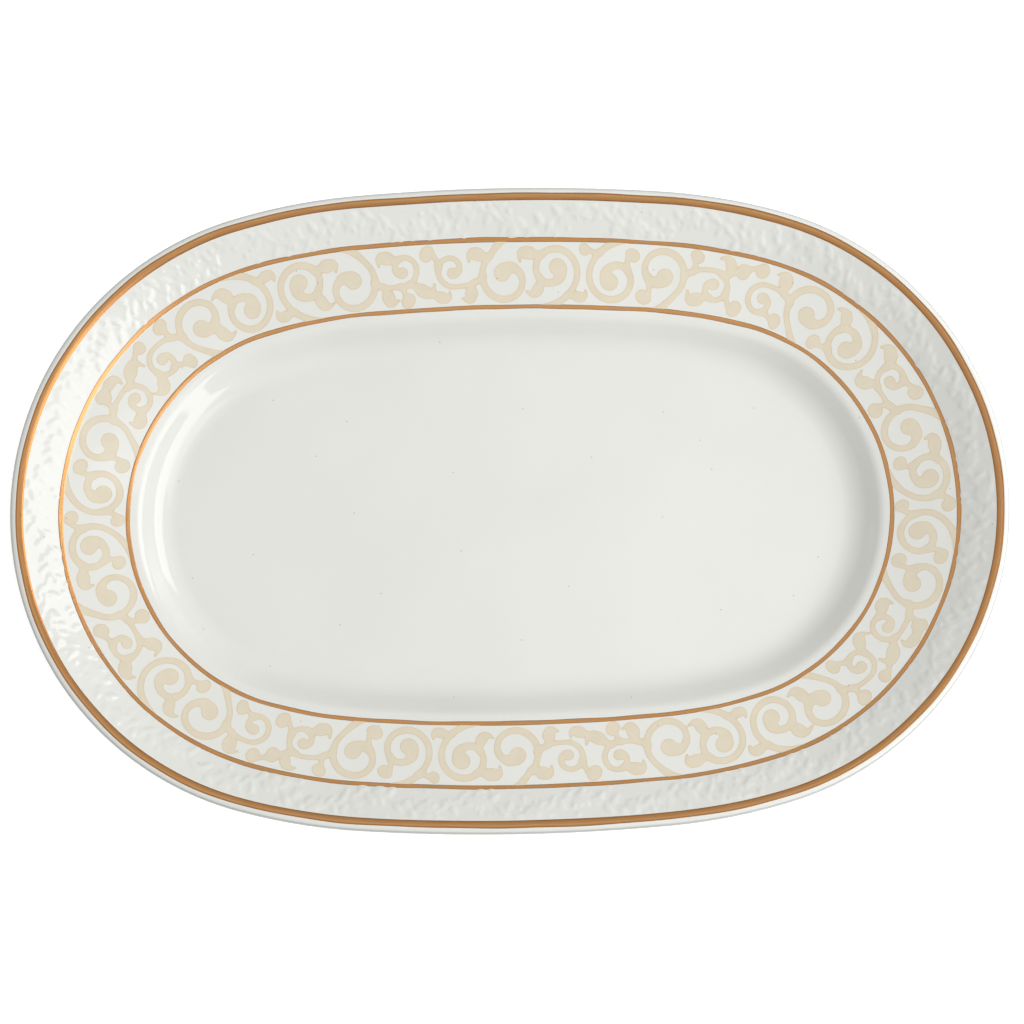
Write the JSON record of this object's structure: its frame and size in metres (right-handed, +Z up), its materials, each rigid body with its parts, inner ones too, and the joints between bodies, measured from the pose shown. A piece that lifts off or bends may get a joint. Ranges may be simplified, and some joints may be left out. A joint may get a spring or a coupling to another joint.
{
  "type": "oval serving platter",
  "caption": "Shallow oval porcelain platter on a foot ring, with a flat well, a sloping embossed rim, a pale scrollwork border and gold lines.",
  "frame": {"origin": "centre of the platter's outline, on the plane of the ground foot face", "axes": "+X along the length, +Y across the width, +Z up out of the well"},
  "size_m": [0.35, 0.229, 0.0327],
  "materials": {
    "bisque": "matte",
    "glaze": "gloss",
    "print": "gloss",
    "gold": "polished"
  },
  "bodies": {
    "root": {"bisque_body": "bisque", "glaze_coat": "glaze", "base_glaze": "glaze", "scroll_transfer_front": "print", "scroll_transfer_back": "print", "rim_gold_band": "gold", "outer_gold_line": "gold", "inner_gold_line": "gold"}
  },
  "joints": []
}
